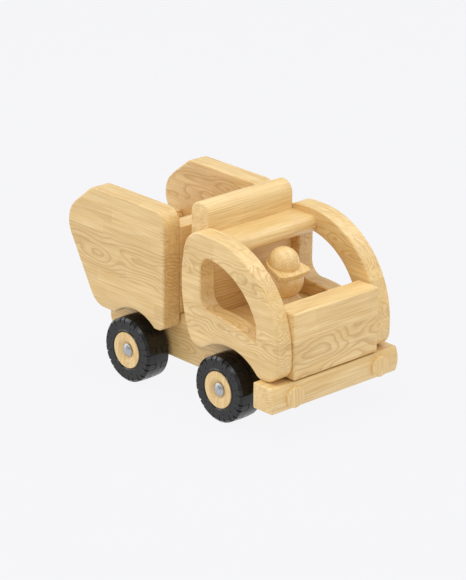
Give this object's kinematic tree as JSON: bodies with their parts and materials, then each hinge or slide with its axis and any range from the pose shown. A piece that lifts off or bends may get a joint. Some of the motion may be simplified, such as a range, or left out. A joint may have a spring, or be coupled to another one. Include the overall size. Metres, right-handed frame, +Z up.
{
  "type": "toy dump truck",
  "caption": "Wooden toy dump truck with an open cab, a driver that turns, a tipper that tips backwards and wheels with treaded rubber tyres.",
  "frame": {"origin": "on the ground, at the middle of the truck's length and width", "axes": "+X forward, +Y to the truck's left, +Z up"},
  "size_m": [0.2706, 0.148, 0.1746],
  "materials": {
    "board_wood": "pale hardwood boards, sanded, satin lacquer",
    "turned_wood": "turned pale hardwood, satin lacquer",
    "dowel_wood": "plain, glued in",
    "tyre_rubber": "moulded, slightly glossy",
    "cap_steel": "bright domed push cap",
    "axle_steel": "drawn rod"
  },
  "bodies": {
    "chassis": {"chassis_rail_left": "board_wood", "chassis_rail_right": "board_wood", "chassis_front_cross_block": "board_wood", "chassis_rear_cross_block": "board_wood", "bumper": "board_wood", "cab_side_left": "board_wood", "cab_side_right": "board_wood", "cab_back_wall": "board_wood", "cab_roof": "board_wood", "cab_front_panel": "board_wood", "cab_floor": "board_wood", "headlight_left": "turned_wood", "headlight_right": "turned_wood", "cab_dowels": "dowel_wood", "chassis_dowels": "dowel_wood", "bumper_dowels": "dowel_wood", "cab_floor_dowels": "dowel_wood", "axle_cap_front_left": "cap_steel", "axle_cap_front_right": "cap_steel", "axle_cap_rear_left": "cap_steel", "axle_cap_rear_right": "cap_steel", "front_axle": "axle_steel", "rear_axle": "axle_steel", "tipper_hinge_pin": "axle_steel"},
    "tipper": {"tipper_side_left": "board_wood", "tipper_side_right": "board_wood", "tipper_floor": "board_wood", "tipper_tail_board": "board_wood", "tipper_front_wall": "board_wood", "tipper_hinge_block": "board_wood", "tipper_dowels": "dowel_wood", "hinge_block_dowels": "dowel_wood"},
    "driver": {"driver_body": "turned_wood", "driver_head": "turned_wood", "driver_visor": "turned_wood", "driver_hat": "turned_wood", "driver_pin": "dowel_wood"},
    "wheel_front_left": {"hub_front_left": "turned_wood", "tyre_front_left": "tyre_rubber"},
    "wheel_front_right": {"hub_front_right": "turned_wood", "tyre_front_right": "tyre_rubber"},
    "wheel_rear_left": {"hub_rear_left": "turned_wood", "tyre_rear_left": "tyre_rubber"},
    "wheel_rear_right": {"hub_rear_right": "turned_wood", "tyre_rear_right": "tyre_rubber"}
  },
  "joints": [
    {"name": "tipper_tip", "type": "hinge", "parent": "chassis", "child": "tipper", "pos_m": [-0.0945, 0, 0.057], "axis": [0, -1, 0], "range_deg": [0, 50]},
    {"name": "driver_turn", "type": "hinge", "parent": "chassis", "child": "driver", "pos_m": [0.0662, 0, 0.0772], "axis": [0, 0, 1], "continuous": true},
    {"name": "wheel_front_left_roll", "type": "hinge", "parent": "chassis", "child": "wheel_front_left", "pos_m": [0.0654, 0.0602, 0.029], "axis": [0, 1, 0], "continuous": true},
    {"name": "wheel_front_right_roll", "type": "hinge", "parent": "chassis", "child": "wheel_front_right", "pos_m": [0.0654, -0.0602, 0.029], "axis": [0, 1, 0], "continuous": true},
    {"name": "wheel_rear_left_roll", "type": "hinge", "parent": "chassis", "child": "wheel_rear_left", "pos_m": [-0.0505, 0.0602, 0.029], "axis": [0, 1, 0], "continuous": true},
    {"name": "wheel_rear_right_roll", "type": "hinge", "parent": "chassis", "child": "wheel_rear_right", "pos_m": [-0.0505, -0.0602, 0.029], "axis": [0, 1, 0], "continuous": true}
  ]
}
